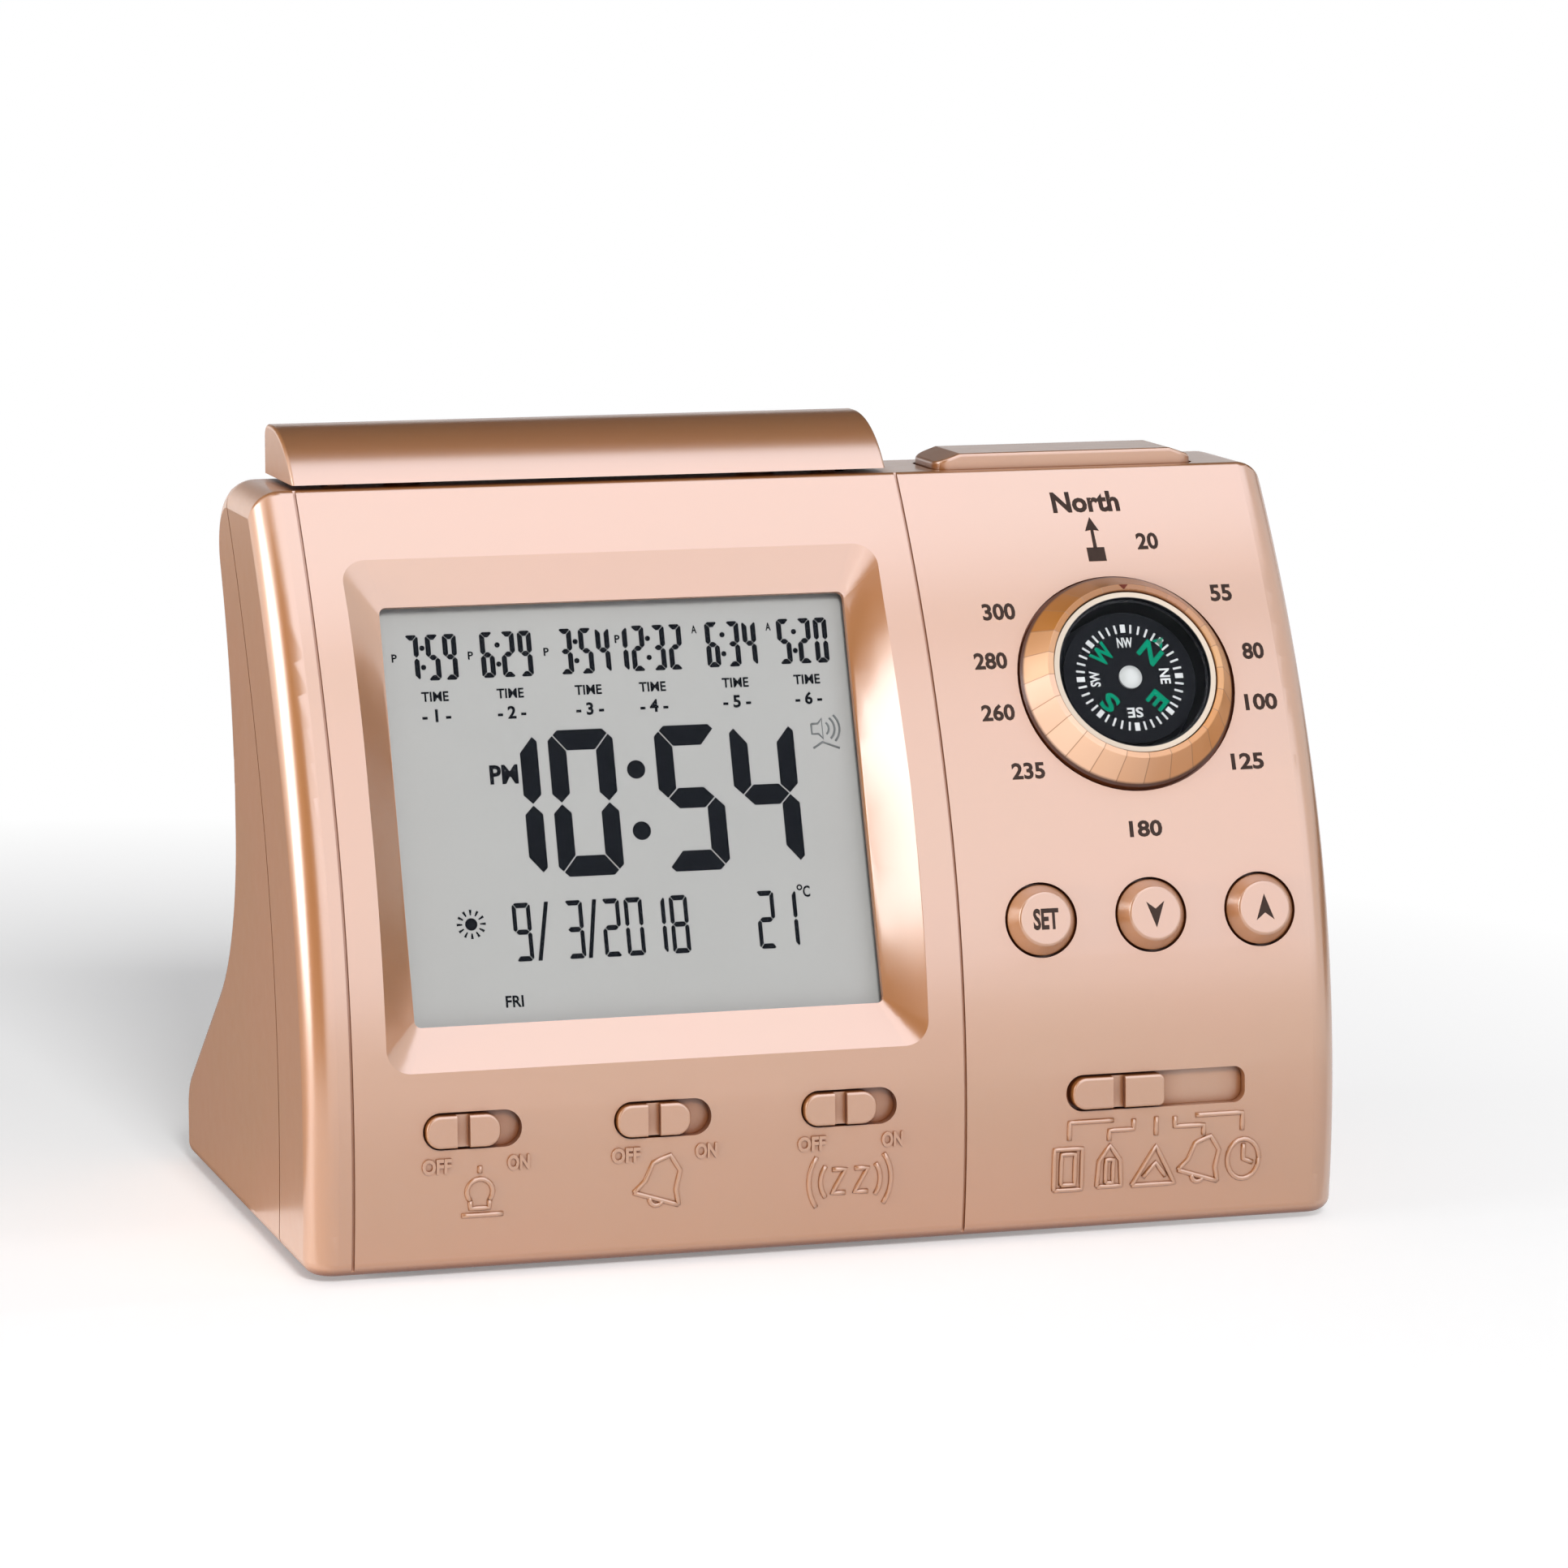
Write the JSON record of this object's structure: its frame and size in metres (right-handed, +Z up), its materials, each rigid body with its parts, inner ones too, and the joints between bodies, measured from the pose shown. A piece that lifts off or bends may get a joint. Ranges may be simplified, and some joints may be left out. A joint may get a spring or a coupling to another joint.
{
  "type": "digital clock",
  "caption": "Table prayer-time clock with a tilted display, a compass, round keys, slide switches, a press bar on top and a sliding battery door.",
  "frame": {"origin": "on the table, under the middle of the bounding box", "axes": "+X to the right along the front, +Y from the front to the back, +Z up"},
  "size_m": [0.124, 0.0748, 0.0937],
  "materials": {
    "case_paint": "satin metallic champagne paint on moulded plastic",
    "clear_cover": "clear polished plastic",
    "lcd_glass": "grey reflective display glass",
    "capsule_plastic": "cream moulded plastic",
    "dial_black": "printed black",
    "board": "green circuit board",
    "switch_black": "black moulded plastic",
    "diffuser_white": "white diffusing plastic",
    "rubber": "soft moulded rubber",
    "steel": "plated steel",
    "cell_wrap": "plain dark sleeve with a lighter band"
  },
  "bodies": {
    "case": {"battery_cells": "cell_wrap", "battery_contacts": "steel", "battery_springs": "steel", "board_screws": "steel", "case_screws": "steel", "compass_base": "dial_black", "compass_cup": "capsule_plastic", "compass_pivot": "steel", "compass_ring": "case_paint", "compass_window": "clear_cover", "display_lens": "clear_cover", "front_shell": "case_paint", "key_board": "board", "key_switches": "switch_black", "lcd_diffuser": "diffuser_white", "lcd_panel": "lcd_glass", "main_board": "board", "rear_shell": "case_paint", "rubber_feet": "rubber", "slide_board": "board", "slide_switches": "switch_black", "speaker_cone": "switch_black", "speaker_frame": "steel", "speaker_magnet": "steel", "top_board": "board", "top_switches": "switch_black", "zebra_strips": "rubber"},
    "snooze_bar": {"snooze_bar": "case_paint", "bar_plungers": "switch_black"},
    "long_key": {"long_key": "case_paint", "long_key_plunger": "switch_black"},
    "set_key": {"set_key": "case_paint", "set_plunger": "switch_black"},
    "down_key": {"down_key": "case_paint", "down_plunger": "switch_black"},
    "up_key": {"up_key": "case_paint", "up_plunger": "switch_black"},
    "left_slide": {"left_slide_knob": "case_paint", "left_slide_lever": "switch_black"},
    "middle_slide": {"middle_slide_knob": "case_paint", "middle_slide_lever": "switch_black"},
    "right_slide": {"right_slide_knob": "case_paint", "right_slide_lever": "switch_black"},
    "selector": {"selector_knob": "case_paint", "selector_lever": "switch_black"},
    "compass_card": {"compass_card": "dial_black", "compass_hub": "capsule_plastic", "compass_needle": "steel"},
    "battery_door": {"battery_door": "case_paint"}
  },
  "joints": [
    {"name": "snooze_bar_press", "type": "slide", "parent": "case", "child": "snooze_bar", "axis": [0, 0, -1], "range_m": [0, 0.0005], "stiffness_N_per_m": 500, "springref_m": -0.002},
    {"name": "long_key_press", "type": "slide", "parent": "case", "child": "long_key", "axis": [0, 0, -1], "range_m": [0, 0.0005], "stiffness_N_per_m": 300, "springref_m": -0.002},
    {"name": "set_key_press", "type": "slide", "parent": "case", "child": "set_key", "axis": [0, 0.9725, -0.233], "range_m": [0, 0.0005], "stiffness_N_per_m": 300, "springref_m": -0.002},
    {"name": "down_key_press", "type": "slide", "parent": "case", "child": "down_key", "axis": [0, 0.9725, -0.233], "range_m": [0, 0.0005], "stiffness_N_per_m": 300, "springref_m": -0.002},
    {"name": "up_key_press", "type": "slide", "parent": "case", "child": "up_key", "axis": [0, 0.9725, -0.233], "range_m": [0, 0.0005], "stiffness_N_per_m": 300, "springref_m": -0.002},
    {"name": "left_slide_move", "type": "slide", "parent": "case", "child": "left_slide", "axis": [1, 0, 0], "range_m": [0, 0.0024]},
    {"name": "middle_slide_move", "type": "slide", "parent": "case", "child": "middle_slide", "axis": [1, 0, 0], "range_m": [0, 0.0024]},
    {"name": "right_slide_move", "type": "slide", "parent": "case", "child": "right_slide", "axis": [1, 0, 0], "range_m": [0, 0.0024]},
    {"name": "selector_move", "type": "slide", "parent": "case", "child": "selector", "axis": [1, 0, 0], "range_m": [0, 0.0096]},
    {"name": "compass_turn", "type": "hinge", "parent": "case", "child": "compass_card", "pos_m": [0.0393, -0.02381, 0.0635], "axis": [0, -0.8907, 0.4546], "continuous": true},
    {"name": "battery_door_slide", "type": "slide", "parent": "case", "child": "battery_door", "axis": [0, 1, 0], "range_m": [0, 0.018]}
  ]
}
